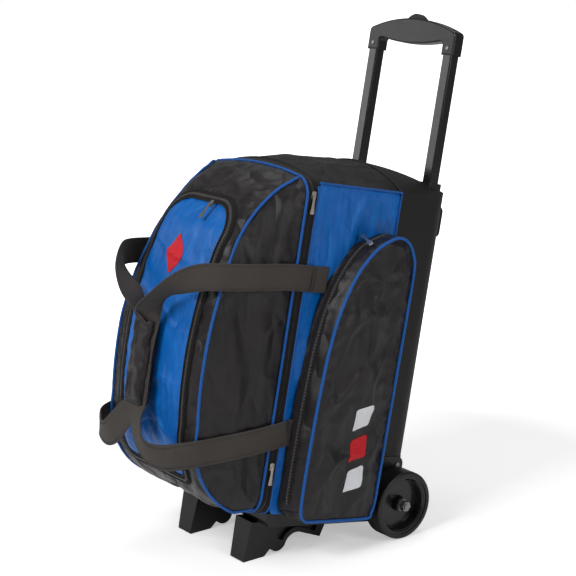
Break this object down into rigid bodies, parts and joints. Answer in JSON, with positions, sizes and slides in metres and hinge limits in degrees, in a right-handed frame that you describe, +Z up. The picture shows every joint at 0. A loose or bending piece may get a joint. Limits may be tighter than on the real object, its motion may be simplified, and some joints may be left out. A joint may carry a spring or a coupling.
{
  "type": "two-ball roller bowling bag",
  "caption": "Leaning roller bag for bowling balls with a telescoping trolley handle, two wheels, front legs, a zipped front lid, shoe flap, side pockets and carry loops.",
  "frame": {"origin": "on the floor, under the middle of the bag's overall length and width, with the bag standing on its front legs and wheels", "axes": "+Z up, -Y the way the front lid faces, +Y the way the trolley handle leans, +X the side that carries the main zip's pulls"},
  "size_m": [0.35, 0.5769, 0.8143],
  "materials": {
    "blue_fabric": "satin nylon",
    "black_fabric": "satin nylon",
    "blue_piping": "satin piping cord",
    "zip_tape": "woven tape with moulded teeth",
    "webbing": "ribbed polyester webbing",
    "foam": "lined foam",
    "housing_plastic": "satin moulded",
    "base_plastic": "moulded, faint grain",
    "board": "lined board",
    "black_tube": "black powder coat",
    "grip_plastic": "soft matte",
    "button_plastic": "satin",
    "steel": "plain",
    "zip_metal": "polished nickel",
    "wheel_plastic": "semi-gloss",
    "tyre": "smooth tread",
    "rubber": "matte"
  },
  "bodies": {
    "bag": {"side_panel_right": "blue_fabric", "side_panel_left": "blue_fabric", "top_panel": "black_fabric", "bottom_panel": "black_fabric", "rear_housing": "housing_plastic", "back_board": "board", "base_tray": "base_plastic", "front_leg_right": "base_plastic", "front_leg_left": "base_plastic", "wheel_brackets": "base_plastic", "axle": "steel", "wheel_nuts": "steel", "rear_bumpers": "rubber", "guide_tube_right": "black_tube", "guide_tube_left": "black_tube", "tube_bezels": "base_plastic", "tube_base_bracket": "base_plastic", "ball_divider": "foam", "lower_ball_cup": "foam", "upper_ball_cup": "foam", "body_zip_tape": "zip_tape", "body_piping": "blue_piping", "pocket_right_gusset": "black_fabric", "pocket_left_gusset": "black_fabric", "strap_anchors": "webbing", "chassis_screws": "steel", "main_zip_sliders": "zip_metal"},
    "trolley_handle": {"inner_tube_right": "black_tube", "inner_tube_left": "black_tube", "grip_front_shell": "grip_plastic", "grip_rear_shell": "grip_plastic", "grip_screws": "steel", "button_spring": "steel"},
    "release_button": {"push_button": "button_plastic", "release_yoke": "steel"},
    "lock_pin_right": {"lock_pin_right": "steel"},
    "lock_pin_left": {"lock_pin_left": "steel"},
    "right_wheel": {"wheel_right": "wheel_plastic", "tyre_right": "tyre"},
    "left_wheel": {"wheel_left": "wheel_plastic", "tyre_left": "tyre"},
    "lid": {"lid_shell": "black_fabric", "shoe_compartment_back": "board", "lid_zip_tape": "zip_tape", "lid_piping": "blue_piping", "shoe_zip_tape": "zip_tape"},
    "shoe_flap": {"shoe_flap": "blue_fabric", "shoe_zip_slider": "zip_metal"},
    "carry_loop_right": {"carry_loop_right": "webbing", "carry_wrap": "webbing"},
    "carry_loop_left": {"carry_loop_left": "webbing"},
    "pocket_cover_right": {"pocket_right_cover": "black_fabric", "pocket_zip_slider_right": "zip_metal"},
    "pocket_cover_left": {"pocket_left_cover": "black_fabric", "pocket_zip_slider_left": "zip_metal"},
    "main_pull_upper": {"main_zip_pull_upper": "zip_metal"},
    "main_pull_lower": {"main_zip_pull_lower": "zip_metal"},
    "shoe_pull": {"shoe_zip_pull": "zip_metal"},
    "pocket_pull_right": {"pocket_zip_pull_right": "zip_metal"},
    "pocket_pull_left": {"pocket_zip_pull_left": "zip_metal"}
  },
  "joints": [
    {"name": "trolley_slide", "type": "slide", "parent": "bag", "child": "trolley_handle", "axis": [0, 0.1908, 0.9816], "range_m": [-0.202, 0.115], "deforming": ["lock_pin_right", "lock_pin_left"]},
    {"name": "button_press", "type": "slide", "parent": "trolley_handle", "child": "release_button", "axis": [0, -0.1908, -0.9816], "range_m": [0, 0.004], "stiffness_N_per_m": 400, "springref_m": -0.004, "deforming": ["button_spring"]},
    {"name": "lock_pin_right_slide", "type": "slide", "parent": "trolley_handle", "child": "lock_pin_right", "axis": [1, 0, 0], "range_m": [0, 0.004]},
    {"name": "lock_pin_left_slide", "type": "slide", "parent": "trolley_handle", "child": "lock_pin_left", "axis": [-1, 0, 0], "range_m": [0, 0.004]},
    {"name": "wheel_right_spin", "type": "hinge", "parent": "bag", "child": "right_wheel", "pos_m": [0.151, 0.114, 0.055], "axis": [1, 0, 0], "continuous": true},
    {"name": "wheel_left_spin", "type": "hinge", "parent": "bag", "child": "left_wheel", "pos_m": [-0.151, 0.114, 0.055], "axis": [1, 0, 0], "continuous": true},
    {"name": "lid_hinge", "type": "hinge", "parent": "bag", "child": "lid", "pos_m": [0, -0.13559, 0.08646], "axis": [1, 0, 0], "range_deg": [0, 75], "deforming": ["carry_loop_right", "carry_loop_left", "carry_wrap"]},
    {"name": "carry_loop_right_swing", "type": "hinge", "parent": "bag", "child": "carry_loop_right", "pos_m": [0.1292, -0.07346, 0.31175], "axis": [0, 0.1908, 0.9816], "range_deg": [0, 90], "deforming": ["carry_loop_right", "carry_loop_left", "carry_wrap"]},
    {"name": "carry_loop_left_swing", "type": "hinge", "parent": "bag", "child": "carry_loop_left", "pos_m": [-0.1292, -0.07346, 0.31175], "axis": [0, -0.1908, -0.9816], "range_deg": [0, 90], "deforming": ["carry_loop_right", "carry_loop_left", "carry_wrap"]},
    {"name": "shoe_flap_hinge", "type": "hinge", "parent": "lid", "child": "shoe_flap", "pos_m": [0, -0.23884, 0.15798], "axis": [-1, 0, 0], "range_deg": [-70, 0], "deforming": ["carry_loop_right", "carry_loop_left", "carry_wrap"]},
    {"name": "pocket_cover_right_hinge", "type": "hinge", "parent": "bag", "child": "pocket_cover_right", "pos_m": [0.1685, 0.12288, 0.43352], "axis": [0, 0.2059, 0.9786], "range_deg": [0, 60]},
    {"name": "pocket_cover_left_hinge", "type": "hinge", "parent": "bag", "child": "pocket_cover_left", "pos_m": [-0.1685, 0.12288, 0.43352], "axis": [0, -0.2059, -0.9786], "range_deg": [0, 60]},
    {"name": "main_pull_upper_swing", "type": "hinge", "parent": "bag", "child": "main_pull_upper", "pos_m": [0.1307, -0.04238, 0.56599], "axis": [0, -0.9816, 0.1908], "range_deg": [0, 90]},
    {"name": "main_pull_lower_swing", "type": "hinge", "parent": "bag", "child": "main_pull_lower", "pos_m": [0.1307, -0.12099, 0.16156], "axis": [0, -0.9816, 0.1908], "range_deg": [0, 90]},
    {"name": "shoe_pull_swing", "type": "hinge", "parent": "shoe_flap", "child": "shoe_pull", "pos_m": [0.03, -0.15806, 0.55382], "axis": [-1, 0, 0], "range_deg": [0, 90]},
    {"name": "pocket_pull_right_swing", "type": "hinge", "parent": "pocket_cover_right", "child": "pocket_pull_right", "pos_m": [0.13781, 0.04484, 0.49696], "axis": [-0.302, -0.8434, -0.4445], "range_deg": [0, 90]},
    {"name": "pocket_pull_left_swing", "type": "hinge", "parent": "pocket_cover_left", "child": "pocket_pull_left", "pos_m": [-0.13781, 0.04484, 0.49696], "axis": [-0.302, 0.8434, 0.4445], "range_deg": [0, 90]}
  ],
  "couplings": [
    {"joint": "lock_pin_right_slide", "follows": "button_press", "ratio": 1},
    {"joint": "lock_pin_left_slide", "follows": "button_press", "ratio": 1},
    {"joint": "carry_loop_right_swing", "follows": "lid_hinge", "ratio": 1.2},
    {"joint": "carry_loop_left_swing", "follows": "lid_hinge", "ratio": 1.2}
  ]
}
